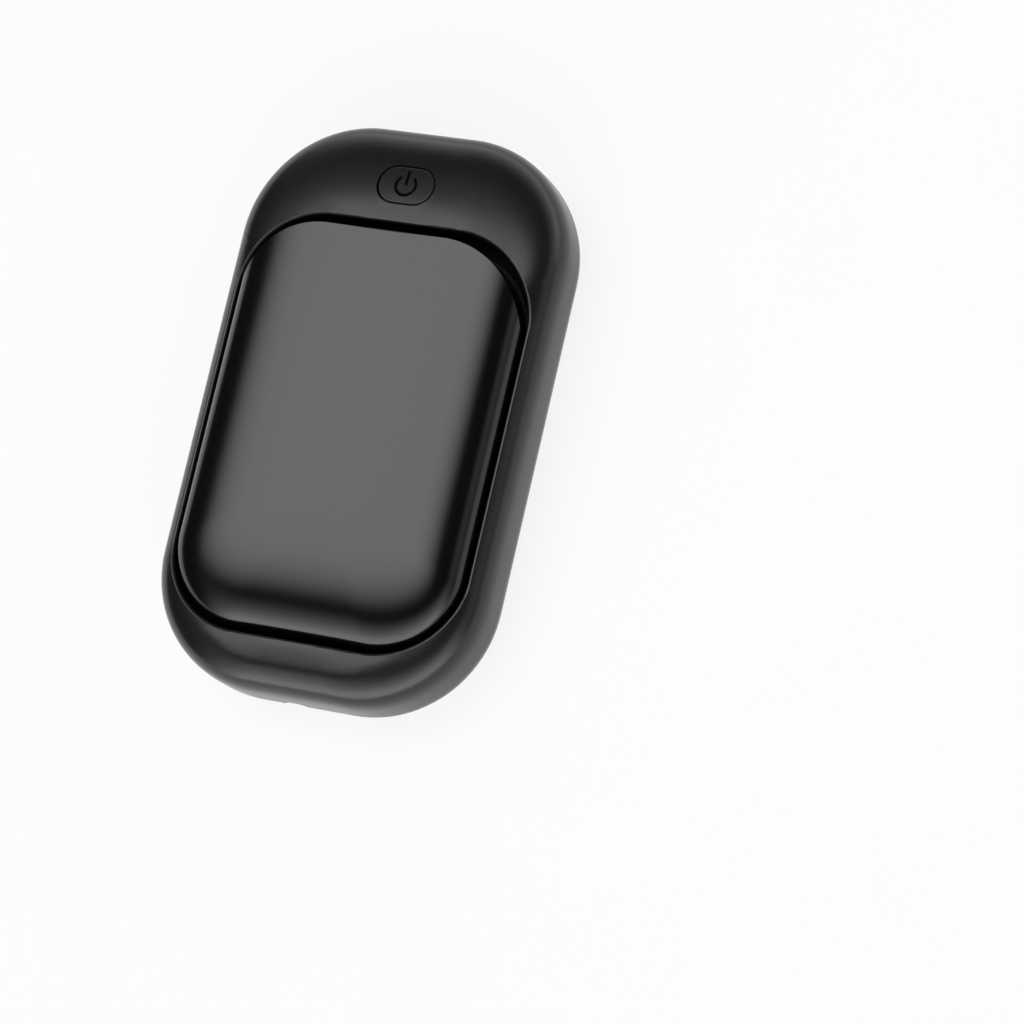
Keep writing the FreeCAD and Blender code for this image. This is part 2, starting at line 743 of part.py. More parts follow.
def power_button():
    """The key: flush with the dome, kept in by a flange and standing on the switch by its stem."""
    outer = outer_dome()
    flange_z = button_flange_bottom_z()
    key = button_prism(0, flange_z, front_top_z).common(outer)
    upper = [e for e in key.Edges if e.BoundBox.ZMin > flange_z + button_edge_radius]
    key = key.makeFillet(button_edge_radius, upper)
    flange = button_prism(button_flange, flange_z, front_top_z)
    flange = flange.common(inner_dome().translated(V(0, 0, -button_flange_gap)))
    stem = cylinder(button_stem_diameter, (0, button_y), plunger_top_z() + switch_play,
                    flange_z + button_flange_thickness)
    return fuse(key, [flange, stem]).cut(power_symbol())


def button_board():
    board = prism(button_board_width, button_board_length, board_corner_radius, tray_bottom_z,
                  button_board_top_z, button_y)
    return board.cut([cylinder(small_screw_diameter + fit_clearance, place, tray_bottom_z - overrun,
                               button_board_top_z + overrun) for place in button_post_places])


def switch_body():
    body = block(switch_width, switch_width, switch_height, (0, button_y), button_board_top_z)
    return body.cut(cylinder(switch_cavity_diameter, (0, button_y), button_board_top_z + switch_floor,
                             button_board_top_z + switch_height + overrun))


def switch_cover():
    cover_z = button_board_top_z + switch_height
    cover = block(switch_width, switch_width, switch_cover_thickness, (0, button_y), cover_z)
    hole = cylinder(switch_cover_hole_diameter, (0, button_y), cover_z - overrun, cover_z + overrun)
    return cover.cut(hole)


def switch_plunger():
    """The plunger that carries the button's press to the snap dome."""
    flange_top_z = button_board_top_z + switch_height - switch_play
    flange_bottom_z = flange_top_z - plunger_flange_thickness
    flange = cylinder(plunger_flange_diameter, (0, button_y), flange_bottom_z, flange_top_z)
    stem = cylinder(plunger_diameter, (0, button_y), flange_bottom_z, plunger_top_z())
    return fuse(flange, [stem])


def switch_dome():
    """The snap dome: a thin spherical cap on the floor of the switch."""
    rim_z = button_board_top_z + switch_floor
    apex_z = rim_z + dome_rise
    rim_radius = dome_diameter / 2
    radius = (rim_radius ** 2 + dome_rise ** 2) / (2 * dome_rise)
    center = V(0, button_y, apex_z - radius)
    cap = Part.makeSphere(radius, center).cut(Part.makeSphere(radius - dome_thickness, center))
    return cap.common(cylinder(dome_diameter + overrun, (0, button_y), rim_z, apex_z + overrun))


def switch_ribbon():
    """The flat cable from the button board, along the tray's underside, down to the main board."""
    middle_z = tray_bottom_z - ribbon_thickness / 2
    start = V(0, button_y, middle_z)
    drop_y = board_start_y + board_length - board_screw_inset
    points = [start, V(0, drop_y, middle_z), V(0, drop_y, board_top_z)]
    half_x = ribbon_width / 2
    half_z = ribbon_thickness / 2
    corners = [start + V(x, 0, z) for x, z in ((-half_x, -half_z), (half_x, -half_z), (half_x, half_z),
                                               (-half_x, half_z))]
    profile = Part.makePolygon(corners + corners[:1])
    return swept("switch_ribbon", points, profile, ribbon_width * ribbon_thickness, ribbon_bend_radius)


def cell_lead(name, share):
    """From the protection board over the tray's open end and down to the main board."""
    x = share * board_width
    start_y = protection_board_place()[1] - protection_board_thickness / 2
    route = [V(x, start_y, lead_exit_z), V(x, lead_drop_y, lead_exit_z), V(x, lead_drop_y, board_top_z)]
    return lead(name, route, power_lead_diameter)


def film_lead(name, share, diameter, start_z):
    """From the film's tail down past the cell, over the tray's open end and down to the main board."""
    x = share * board_width
    route = [V(x, tail_y, start_z), V(x, tail_y, lead_exit_z), V(x, lead_drop_y, lead_exit_z),
             V(x, lead_drop_y, board_top_z)]
    return lead(name, route, diameter)


def thermistor():
    """The temperature sensor, a small moulded bead under the film's tail."""
    middle_share = sum(thermistor_lead_place_shares.values()) / len(thermistor_lead_place_shares)
    place = (middle_share * board_width, tail_y)
    bottom_z = film_bottom_z - thermistor_height
    bead = block(thermistor_width, thermistor_length, thermistor_height, place, bottom_z)
    lower = [e for e in bead.Edges if e.BoundBox.ZMax < film_bottom_z - TINY]
    return bead.makeFillet(thermistor_height / 4, lower)


save("front_shell", front_shell())
save("back_cover", back_cover())
save("heating_plate", heating_plate())
save("plate_gasket", plate_gasket())
for corner, corner_place in foot_places.items():
    save(f"foot_{corner}", foot(corner_place))
save("case_screws", case_screws())
save("heater_film", heater_film())
save("insulation_pad", insulation_pad())
save("cell_tray", cell_tray())
save("battery_cell", battery_cell())
save("cell_pad", cell_pad())
save("protection_board", protection_board())
for pole, pole_share in cell_lead_place_shares.items():
    save(f"cell_tab_{pole}", cell_tab(pole_share))
    save(f"cell_lead_{pole}", cell_lead(f"cell_lead_{pole}", pole_share))
for side, side_share in heater_lead_place_shares.items():
    save(f"heater_lead_{side}", film_lead(f"heater_lead_{side}", side_share, power_lead_diameter,
                                          film_bottom_z))
for side, side_share in thermistor_lead_place_shares.items():
    save(f"thermistor_lead_{side}", film_lead(f"thermistor_lead_{side}", side_share, sense_lead_diameter,
                                              film_bottom_z - thermistor_height))
save("thermistor", thermistor())
save("main_board", main_board())
save("board_screws", small_screws(board_screw_places, board_top_z, board_bottom_z - board_standoff, -1))
save("power_inductor", power_inductor())
save("charge_controller", chip(controller_width, controller_width, controller_height,
                               controller_place_shares))
save("microcontroller", chip(microcontroller_width, microcontroller_width, microcontroller_height,
                             microcontroller_place_shares))
save("heater_transistor", chip(transistor_width, transistor_length, transistor_height,
                               transistor_place_shares))
save("capacitors", Part.makeCompound([chip(capacitor_width, capacitor_length, capacitor_height, shares)
                                      for shares in capacitor_place_shares]))
save("resistors", Part.makeCompound([chip(resistor_width, resistor_length, resistor_height, shares)
                                     for shares in resistor_place_shares]))
save("charge_socket", charge_socket())
save("charge_sleeve", charge_sleeve())
save("charge_tip_contact", charge_tip_contact())
save("power_button", power_button())
save("button_board", button_board())
save("button_board_screws", small_screws(button_post_places, tray_bottom_z,
                                         button_board_top_z + small_screw_depth - screw_end_room, 1))
save("switch_body", switch_body())
save("switch_cover", switch_cover())
save("switch_plunger", switch_plunger())
save("switch_dome", switch_dome())
save("switch_ribbon", switch_ribbon())
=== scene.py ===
# %% [markdown]
# # A rechargeable hand warmer, dressed for the studio
#
# The solids of this hand warmer come from a CAD program: a pebble-shaped case in two halves, a raised heating
# plate, a key, four feet and everything inside. They are loaded here as a fixed frame, and this lesson gives
# them their looks. Every length in Blender is in metres, in the frame of the solids: X is the width, Y runs
# from the charging inlet to the key, and Z points up through the plate.

# %% Load the frame
import math

import bmesh
import bpy
from mathutils import Matrix, Vector


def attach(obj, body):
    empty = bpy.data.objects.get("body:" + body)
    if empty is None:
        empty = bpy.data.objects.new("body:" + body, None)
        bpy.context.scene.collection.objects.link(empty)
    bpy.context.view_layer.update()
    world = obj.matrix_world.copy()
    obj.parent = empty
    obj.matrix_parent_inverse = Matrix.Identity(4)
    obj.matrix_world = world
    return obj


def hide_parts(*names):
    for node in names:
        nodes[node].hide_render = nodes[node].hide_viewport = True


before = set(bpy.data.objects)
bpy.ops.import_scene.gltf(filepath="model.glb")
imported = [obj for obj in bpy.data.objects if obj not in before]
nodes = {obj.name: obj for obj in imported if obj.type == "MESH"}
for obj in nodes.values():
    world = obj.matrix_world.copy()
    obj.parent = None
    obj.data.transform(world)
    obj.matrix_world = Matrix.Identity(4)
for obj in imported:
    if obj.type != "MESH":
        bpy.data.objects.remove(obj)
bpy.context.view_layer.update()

MM = 0.001

# %% [markdown]
# ## Two small helpers
#
# Colours are easiest to pick as sRGB hex values, but shaders want linear light, so one function converts
# them with the curve of the sRGB standard. A second function adds a node, sets it up and links it, which
# keeps each tree short enough to read in one go. It serves materials, Geometry Nodes and the world alike.

# %% Colour and node helpers
def linear(hex_colour):
    """A linear RGBA colour from an sRGB hex value."""
    channels = [int(hex_colour[i:i + 2], 16) / 255 for i in (1, 3, 5)]
    return tuple(c / 12.92 if c <= 0.04045 else ((c + 0.055) / 1.055) ** 2.4 for c in channels) + (1.0,)


def add(tree, kind, inputs=None, **settings):
    """A node with its settings; an input is a value, or the socket that feeds it."""
    made = tree.nodes.new(kind)
    for name, value in settings.items():
        setattr(made, name, value)
    for key, value in (inputs or {}).items():
        if isinstance(value, bpy.types.NodeSocket):
            tree.links.new(value, made.inputs[key])
        else:
            made.inputs[key].default_value = value
    return made


print("half grey in linear light:", [round(c, 4) for c in linear("#808080")])

# %% [markdown]
# ## A finish for moulded, coated and rolled surfaces
#
# No real surface is one flat colour. A slow mottle comes from the flow of the material, and a fine grain from
# the mould, the spray or the rolls breaks the gloss and gives a little bump. A painted texture could hold all
# that, but noise on Object coordinates needs no unwrapping and never stretches. One function makes the three
# layers, with their sizes in real millimetres. What is the same all over, such as the IOR, goes straight on
# the shader's own socket. A Mix node has a pair of inputs for each kind of data, so their numbers get names.

# %% The finish function
MOTTLE_DETAIL = 3.0
GRAIN_DETAIL = 2.0
COLOUR_A, COLOUR_B, COLOUR_OUT = 6, 7, 2
NUMBER_A, NUMBER_B = 2, 3


def finish(name, dark, light, roughness, mottle_mm, grain_mm, bump_mm, **sockets):
    """A material with a mottled colour, a grain in its gloss and a fine bump."""
    material = bpy.data.materials.new(name)
    material.use_nodes = True
    tree = material.node_tree
    tree.nodes.clear()
    place = add(tree, "ShaderNodeTexCoord").outputs["Object"]
    mottle = add(tree, "ShaderNodeTexNoise", {
        "Vector": place, "Scale": 1 / (mottle_mm * MM), "Detail": MOTTLE_DETAIL})
    colour = add(tree, "ShaderNodeMix", {
        "Factor": mottle.outputs[0], COLOUR_A: linear(dark), COLOUR_B: linear(light)}, data_type="RGBA")
    grain = add(tree, "ShaderNodeTexNoise", {
        "Vector": place, "Scale": 1 / (grain_mm * MM), "Detail": GRAIN_DETAIL})
    gloss = add(tree, "ShaderNodeMapRange", {
        "Value": grain.outputs[0], "To Min": roughness[0], "To Max": roughness[1]})
    bump = add(tree, "ShaderNodeBump", {"Height": grain.outputs[0], "Distance": bump_mm * MM})
    shader = add(tree, "ShaderNodeBsdfPrincipled", {
        "Base Color": colour.outputs[COLOUR_OUT], "Roughness": gloss.outputs["Result"],
        "Normal": bump.outputs["Normal"],
        **{key.replace("_", " "): value for key, value in sockets.items()}})
    add(tree, "ShaderNodeOutputMaterial", {"Surface": shader.outputs["BSDF"]})
    return material


def dress(material, *names):
    """Give a finish to the solids of these names."""
    for name in names:
        nodes[name].data.materials.clear()
        nodes[name].data.materials.append(material)
    print(material.name, "on", ", ".join(names))


# %% [markdown]
# ## The outside: soft-touch coat, anodised plate, rubber feet
#
# The case is moulded in black ABS and sprayed with a soft-touch coat. The coat hides the flow lines and
# scatters the light, so a lamp turns into a wide grey glow and never into a sharp spot. The plate is
# aluminium, polished, anodised black and sealed. Its oxide layer is clear and dyed, so it is treated as a
# black body under a smooth clear surface and not as bare metal: it mirrors the softbox with only a slight
# haze. The feet are moulded in silicone rubber. In the channel round the plate the edge of a foam tape can
# just be seen.

# %% Finishes of the outside
soft_touch = finish("soft-touch coat on moulded ABS", "#131314", "#161617", roughness=(0.22, 0.27),
                    mottle_mm=9.0, grain_mm=0.22, bump_mm=0.0006, IOR=1.5)
anodised = finish("polished black anodised aluminium", "#050506", "#070708", roughness=(0.16, 0.19),
                  mottle_mm=12.0, grain_mm=0.3, bump_mm=0.0003, IOR=1.5)
foot_rubber = finish("moulded silicone rubber", "#0e0e0e", "#131313", roughness=(0.38, 0.46),
                     mottle_mm=3.0, grain_mm=0.15, bump_mm=0.002, IOR=1.43)
gasket_foam = finish("die-cut foam tape", "#0b0b0b", "#121212", roughness=(0.75, 0.9),
                     mottle_mm=1.2, grain_mm=0.12, bump_mm=0.02, IOR=1.45)
dress(soft_touch, "back_cover")
dress(gasket_foam, "plate_gasket")

# %% [markdown]
# ### Painted shade in the coat
#
# In two places the coat gives way to a matt black, which is painted shade. The narrow channel round the plate
# lies in shade, so its walls are painted matt black, and that draws the black line round the plate. And the
# shade in the groove of the engraved power symbol is painted in as a dark matt fill. Faces could be picked by
# hand for this, but the faces of the lip run on into the channel, and a mask worked out from the place of a
# point can end between them.

# %% A helper for painted shade
# Painted shade: a matt black that stands in for the shade in the channel round the plate and in the engraved
# symbol.
PAINTED_SHADE_BLACK = "#050505"
MATT_ROUGHNESS = 0.88
MATT_SPECULAR = 0.1
COAT_SPECULAR = 0.5


def painted_shade_copy(material, name):
    """A copy of a finish, and the place of each point on it."""
    made = material.copy()
    made.name = name
    return made, add(made.node_tree, "ShaderNodeTexCoord").outputs["Object"]


def paint_matt_shade(material, mask):
    """Paint shade into a finish as a matt black where the mask is 1."""
    tree = material.node_tree
    shader = tree.nodes["Principled BSDF"]
    colour, gloss = (shader.inputs[key].links[0].from_socket for key in ("Base Color", "Roughness"))
    colour = add(tree, "ShaderNodeMix", {
        "Factor": mask, COLOUR_A: colour, COLOUR_B: linear(PAINTED_SHADE_BLACK)}, data_type="RGBA")
    gloss = add(tree, "ShaderNodeMix", {"Factor": mask, NUMBER_A: gloss, NUMBER_B: MATT_ROUGHNESS})
    shine = add(tree, "ShaderNodeMapRange", {"Value": mask, "To Min": COAT_SPECULAR, "To Max": MATT_SPECULAR})
    tree.links.new(colour.outputs[COLOUR_OUT], shader.inputs["Base Color"])
    tree.links.new(gloss.outputs[0], shader.inputs["Roughness"])
    tree.links.new(shine.outputs["Result"], shader.inputs["Specular IOR Level"])


# %% [markdown]
# On the front shell the mask for the painted shade of the channel is the distance of a point, in plan, from
# the rounded outline of the opening. Folding the plan into one quarter leaves a single corner, and past the
# hub of that corner the distance is a plain length. The hub is set taller than the part, so that the height
# of a point drops out. Just outside the outline the coat fades into the painted shade.

# %% The front shell's coat
OPENING_HALF_WIDTH = 26.8 * MM
OPENING_HALF_LENGTH = 36.75 * MM
OPENING_MIDDLE = -4.65 * MM
OPENING_RADIUS = 15.1 * MM
PAINTED_SHADE_EDGE = (0.2 * MM, 0.02 * MM)
TALL = 1.0

shell_coat_painted_shade, place = painted_shade_copy(soft_touch, "soft-touch coat, painted shade in the channel")
tree = shell_coat_painted_shade.node_tree
middle = add(tree, "ShaderNodeVectorMath", {0: place, 1: (0.0, OPENING_MIDDLE, 0.0)}, operation="SUBTRACT")
folded = add(tree, "ShaderNodeVectorMath", {0: middle.outputs[0]}, operation="ABSOLUTE")
hub = (OPENING_HALF_WIDTH - OPENING_RADIUS, OPENING_HALF_LENGTH - OPENING_RADIUS, TALL)
past = add(tree, "ShaderNodeVectorMath", {0: folded.outputs[0], 1: hub}, operation="SUBTRACT")
past = add(tree, "ShaderNodeVectorMath", {0: past.outputs[0], 1: (0.0, 0.0, 0.0)}, operation="MAXIMUM")
reach = add(tree, "ShaderNodeVectorMath", {0: past.outputs[0]}, operation="LENGTH")
# Painted shade: inside the outline the walls of the channel turn matt black for the shade there.
painted_channel_shade = add(tree, "ShaderNodeMapRange", {
    "Value": reach.outputs["Value"], "From Min": OPENING_RADIUS + PAINTED_SHADE_EDGE[0],
    "From Max": OPENING_RADIUS + PAINTED_SHADE_EDGE[1]})
paint_matt_shade(shell_coat_painted_shade, painted_channel_shade.outputs["Result"])
dress(shell_coat_painted_shade, "front_shell")

# %% [markdown]
# On the key the mask of the painted shade is the power symbol itself: a ring that is broken at the top, and a
# bar in the gap. It follows the groove that is cut into the solid, and paints the shade of that groove dark.

# %% The key's coat
KEY_MIDDLE = 39.1 * MM
SYMBOL_RADIUS = 1.825 * MM
SYMBOL_STROKE = 0.55 * MM
BAR_LENGTH = 2.7 * MM
GAP_ANGLE = math.radians(38.0)

key_coat_painted_shade, place = painted_shade_copy(soft_touch, "soft-touch coat with painted shade in the symbol")
tree = key_coat_painted_shade.node_tree
middle = add(tree, "ShaderNodeVectorMath", {0: place, 1: (0.0, KEY_MIDDLE, 0.0)}, operation="SUBTRACT")
flat = add(tree, "ShaderNodeVectorMath", {0: middle.outputs[0], 1: (1.0, 1.0, 0.0)}, operation="MULTIPLY")
reach = add(tree, "ShaderNodeVectorMath", {0: flat.outputs[0]}, operation="LENGTH")
ring = add(tree, "ShaderNodeMath", {0: reach.outputs["Value"], 1: SYMBOL_RADIUS, 2: SYMBOL_STROKE / 2},
           operation="COMPARE")
across, along, _ = add(tree, "ShaderNodeSeparateXYZ", {0: flat.outputs[0]}).outputs
beside = add(tree, "ShaderNodeMath", {0: across}, operation="ABSOLUTE")
gap = add(tree, "ShaderNodeMath", {0: along, 1: math.tan(GAP_ANGLE)}, operation="MULTIPLY")
gap = add(tree, "ShaderNodeMath", {0: beside.outputs[0], 1: gap.outputs[0]}, operation="GREATER_THAN")
ring = add(tree, "ShaderNodeMath", {0: ring.outputs[0], 1: gap.outputs[0]}, operation="MULTIPLY")
bar = add(tree, "ShaderNodeMath", {0: along, 1: BAR_LENGTH / 2, 2: BAR_LENGTH / 2}, operation="COMPARE")
slim = add(tree, "ShaderNodeMath", {0: beside.outputs[0], 1: SYMBOL_STROKE / 2}, operation="LESS_THAN")
bar = add(tree, "ShaderNodeMath", {0: bar.outputs[0], 1: slim.outputs[0]}, operation="MULTIPLY")
symbol = add(tree, "ShaderNodeMath", {0: ring.outputs[0], 1: bar.outputs[0]}, operation="MAXIMUM")
# Painted shade: the groove of the power symbol is painted matt black for the shade in it.
paint_matt_shade(key_coat_painted_shade, symbol.outputs[0])
dress(key_coat_painted_shade, "power_button")

# %% [markdown]
# ## Helpers for Geometry Nodes
#
# A tree gets one named input for each size, so that its shape can be read and changed from the list of
# inputs. Both pieces below start from the same form: an outline that is raised into a tube, storey by storey.
# Each point of the tube keeps its place in the plan and its climb, and a rule can then move it. Once the tree
# has run, its result is kept as a plain mesh: an export would drop the modifier's instances, and a plain mesh
# can be worked on further.

# %% Tree and piece helpers
EDGE_ANGLE = math.radians(32.0)


def node_tree(name, sizes):
    """An empty tree with a named input for each size, one for the finish, and a geometry output."""
    tree = bpy.data.node_groups.new(name, "GeometryNodeTree")
    tree.interface.new_socket("Geometry", in_out="OUTPUT", socket_type="NodeSocketGeometry")
    for label in sizes:
        tree.interface.new_socket(label, in_out="INPUT", socket_type="NodeSocketFloat")
    tree.interface.new_socket("Finish", in_out="INPUT", socket_type="NodeSocketMaterial")
    return tree


def raise_tube(tree, outline, storeys):
    """A closed tube over an outline, and the place in the plan and the climb from 0 to 1 of its points."""
    plan = add(tree, "GeometryNodeCaptureAttribute")
    plan.capture_items.new("VECTOR", "Plan")
    tree.links.new(outline, plan.inputs["Geometry"])
    tree.links.new(add(tree, "GeometryNodeInputPosition").outputs[0], plan.inputs["Plan"])
    post = add(tree, "GeometryNodeCurvePrimitiveLine")
    post = add(tree, "GeometryNodeResampleCurve", {"Curve": post.outputs[0], "Count": storeys})
    climb = add(tree, "GeometryNodeCaptureAttribute")
    climb.capture_items.new("FLOAT", "Climb")
    tree.links.new(post.outputs[0], climb.inputs["Geometry"])
    tree.links.new(add(tree, "GeometryNodeSplineParameter").outputs["Factor"], climb.inputs["Climb"])
    tube = add(tree, "GeometryNodeCurveToMesh", {
        "Curve": climb.outputs[0], "Profile Curve": plan.outputs[0], "Fill Caps": True})
    return tube.outputs[0], plan.outputs["Plan"], climb.outputs["Climb"]


def plain_piece(tree, name, values):
    """Run a tree once with these values, and keep what it makes as a plain mesh."""
    piece = bpy.data.objects.new(name, bpy.data.meshes.new(name))
    bpy.context.scene.collection.objects.link(piece)
    modifier = piece.modifiers.new(name, "NODES")
    modifier.node_group = tree
    for socket in tree.interface.items_tree:
        if socket.in_out == "INPUT":
            modifier[socket.identifier] = values[socket.name]
    made = bpy.data.meshes.new_from_object(piece.evaluated_get(bpy.context.evaluated_depsgraph_get()))
    piece.modifiers.clear()
    piece.data = made
    print(name, len(made.vertices), "points,", len(made.polygons), "faces")
    return piece


def shade(piece):
    """Smooth shading, broken only across real edges."""
    piece.data.shade_smooth()
    piece.data.set_sharp_from_angle(angle=EDGE_ANGLE)


# %% [markdown]
# ## The heating plate
#
# The plate is one pressed piece of aluminium. Its crown is flat, a soft shoulder runs down to the rim on both
# sides and at the inlet's end, and at the key's end it is cut off steeply. It could be modelled by hand with
# Subdivision Surface, but its shape follows a rule, and a mirror-like surface shows every dent. So a tree
# makes it from a tube with the plan of the rim. Each storey is narrower than the one below and stands higher,
# and a superellipse says by how much.

# %% Sizes of the plate
PLATE = {"Width": 52.6 * MM, "Length": 71.0 * MM, "Middle": -5.4 * MM, "Corner Radius": 14.6 * MM,
         "Head Radius": 15.8 * MM, "Head Roll": 0.55 * MM, "Base": 12.6 * MM, "Height": 8.4 * MM,
         "Power": 3.6}
print({label: round(value / MM, 2) for label, value in PLATE.items() if label != "Power"}, "mm")

# %% The plan and the storeys
CORNER_POINTS = 56
STOREYS = 128

tree = node_tree("cushion_plate", PLATE)
sizes = add(tree, "NodeGroupInput").outputs
box = add(tree, "GeometryNodeCurvePrimitiveQuadrilateral", {
    "Width": sizes["Width"], "Height": sizes["Length"]})
rim = add(tree, "GeometryNodeFilletCurve", {
    "Curve": box.outputs[0], "Radius": sizes["Corner Radius"], "Count": CORNER_POINTS}, mode="POLY")
tube, plan, climb = raise_tube(tree, rim.outputs[0], STOREYS)
print("plan and storeys:", len(tree.nodes), "nodes")

# %% [markdown]
# With the climb turned into an angle, the width shrinks with a power of the cosine and the height grows with
# the same power of the sine. At the inlet's end the storeys draw in towards a place on the spine, half a
# width from that end, so the shoulder is as broad there as at the sides.

# %% The shoulder at the sides and the inlet's end
CROWN_ANGLE = math.radians(88.2)

angle = add(tree, "ShaderNodeMath", {0: climb, 1: CROWN_ANGLE}, operation="MULTIPLY")
cosine = add(tree, "ShaderNodeMath", {0: angle.outputs[0]}, operation="COSINE")
sine = add(tree, "ShaderNodeMath", {0: angle.outputs[0]}, operation="SINE")
exponent = add(tree, "ShaderNodeMath", {0: 2.0, 1: sizes["Power"]}, operation="DIVIDE")
share = add(tree, "ShaderNodeMath", {0: cosine.outputs[0], 1: exponent.outputs[0]}, operation="POWER")
rise = add(tree, "ShaderNodeMath", {0: sine.outputs[0], 1: exponent.outputs[0]}, operation="POWER")
across, along, _ = add(tree, "ShaderNodeSeparateXYZ", {0: plan}).outputs
half_width = add(tree, "ShaderNodeMath", {0: sizes["Width"], 1: 0.5}, operation="MULTIPLY")
half_length = add(tree, "ShaderNodeMath", {0: sizes["Length"], 1: 0.5}, operation="MULTIPLY")
narrow = add(tree, "ShaderNodeMath", {0: across, 1: share.outputs[0]}, operation="MULTIPLY")
spine = add(tree, "ShaderNodeMath", {0: half_width.outputs[0], 1: half_length.outputs[0]},
            operation="SUBTRACT")
tail = add(tree, "ShaderNodeMix", {"Factor": share.outputs[0], NUMBER_A: spine.outputs[0], NUMBER_B: along})
print("shoulder:", len(tree.nodes), "nodes")

# %% [markdown]
# At the key's end the plan runs straight across and bends round to both sides with a radius of its own. Every
# storey ends on that line and leans back only by a small roll, which makes the head steep.

# %% The steep head
beside = add(tree, "ShaderNodeMath", {0: narrow.outputs[0]}, operation="ABSOLUTE")
bend = add(tree, "ShaderNodeMath", {0: half_width.outputs[0], 1: sizes["Head Radius"]}, operation="SUBTRACT")
past = add(tree, "ShaderNodeMath", {0: beside.outputs[0], 1: bend.outputs[0]}, operation="SUBTRACT")
past = add(tree, "ShaderNodeMath", {0: past.outputs[0], 1: 0.0}, operation="MAXIMUM")
past = add(tree, "ShaderNodeMath", {0: past.outputs[0], 1: 2.0}, operation="POWER")
bow = add(tree, "ShaderNodeMath", {0: sizes["Head Radius"], 1: 2.0}, operation="POWER")
bow = add(tree, "ShaderNodeMath", {0: bow.outputs[0], 1: past.outputs[0]}, operation="SUBTRACT")
bow = add(tree, "ShaderNodeMath", {0: bow.outputs[0]}, operation="SQRT")
hub = add(tree, "ShaderNodeMath", {0: half_length.outputs[0], 1: sizes["Head Radius"]}, operation="SUBTRACT")
front = add(tree, "ShaderNodeMath", {0: hub.outputs[0], 1: bow.outputs[0]}, operation="ADD")
front = add(tree, "ShaderNodeMath", {0: front.outputs[0], 1: sizes["Head Roll"]}, operation="SUBTRACT")
head = add(tree, "ShaderNodeMath", {0: sizes["Head Roll"], 1: share.outputs[0], 2: front.outputs[0]},
           operation="MULTIPLY_ADD")
at_head = add(tree, "ShaderNodeMath", {0: along, 1: 0.0}, operation="GREATER_THAN")
reach = add(tree, "ShaderNodeMix", {
    "Factor": at_head.outputs[0], NUMBER_A: tail.outputs[0], NUMBER_B: head.outputs[0]})
reach = add(tree, "ShaderNodeMath", {0: reach.outputs[0], 1: sizes["Middle"]}, operation="ADD")
level = add(tree, "ShaderNodeMath", {0: rise.outputs[0], 1: sizes["Height"], 2: sizes["Base"]},
            operation="MULTIPLY_ADD")
target = add(tree, "ShaderNodeCombineXYZ", {0: narrow.outputs[0], 1: reach.outputs[0], 2: level.outputs[0]})
shaped = add(tree, "GeometryNodeSetPosition", {"Geometry": tube, "Position": target.outputs[0]})
print("head:", len(tree.nodes), "nodes")

# %% [markdown]
# Where the steep head meets the shoulders and the crown, the plate has a true edge, a ridge. Smooth shading
# would smear the mirrored softbox across it, and an angle can't find all of it, because it grows flat towards
# the rim. So the tree marks the points of the ridge with an attribute, and the edges between them turn sharp
# further down.

# %% The ridge, and the plate as a whole
RIDGE_WIDTH = 0.01 * MM
HALF_STOREY = 0.5 / STOREYS

wide = add(tree, "ShaderNodeMath", {0: across}, operation="ABSOLUTE")
wide = add(tree, "ShaderNodeMath", {0: wide.outputs[0], 1: half_width.outputs[0], 2: RIDGE_WIDTH},
           operation="COMPARE")
top = add(tree, "ShaderNodeMath", {0: climb, 1: 1.0, 2: HALF_STOREY}, operation="COMPARE")
ridge = add(tree, "ShaderNodeMath", {0: wide.outputs[0], 1: top.outputs[0]}, operation="MAXIMUM")
ridge = add(tree, "ShaderNodeMath", {0: ridge.outputs[0], 1: at_head.outputs[0]}, operation="MULTIPLY")
marked = add(tree, "GeometryNodeStoreNamedAttribute", {
    "Geometry": shaped.outputs[0], "Name": "ridge", "Value": ridge.outputs[0]}, data_type="BOOLEAN")
whole = add(tree, "GeometryNodeRealizeInstances", {0: marked.outputs[0]})
dressed = add(tree, "GeometryNodeSetMaterial", {"Geometry": whole.outputs[0], "Material": sizes["Finish"]})
add(tree, "NodeGroupOutput", {0: dressed.outputs[0]})
plate = plain_piece(tree, "plate_cushion", {**PLATE, "Finish": anodised})

# %% [markdown]
# From below the plate is hollow, so that it heats up fast: a rim is left all round for the foam tape, and two
# steps lead up to the roof that carries the heater film. The flat underside is inset and pushed up twice,
# which is quicker than cutting the hollow out with a boolean and leaves no loose edges.

# %% Hollow the plate from below
WELD = 0.002 * MM
PLATE_RIM = 2.1 * MM
STEP_LEVEL = 16.8 * MM
ROOF_LEVEL = 18.6 * MM
ROOF_SHARE = 0.87

mesh = bmesh.new()
mesh.from_mesh(plate.data)
bmesh.ops.remove_doubles(mesh, verts=mesh.verts, dist=WELD)
underside = min(mesh.faces, key=lambda face: face.calc_center_median().z)
bmesh.ops.inset_region(mesh, faces=[underside], thickness=PLATE_RIM, use_even_offset=True)
for step_z, step_share in ((STEP_LEVEL, 1.0), (ROOF_LEVEL, ROOF_SHARE)):
    if step_share < 1.0:
        underside = bmesh.ops.extrude_discrete_faces(mesh, faces=[underside])["faces"][0]
        for vertex in underside.verts:
            vertex.co.x *= step_share
            vertex.co.y = PLATE["Middle"] + (vertex.co.y - PLATE["Middle"]) * step_share
    underside = bmesh.ops.extrude_discrete_faces(mesh, faces=[underside])["faces"][0]
    for vertex in underside.verts:
        vertex.co.z = step_z
bmesh.ops.recalc_face_normals(mesh, faces=mesh.faces)
open_edges = [edge for edge in mesh.edges if not edge.is_manifold]
mesh.to_mesh(plate.data)
mesh.free()
print("plate hollowed,", len(open_edges), "open edges")

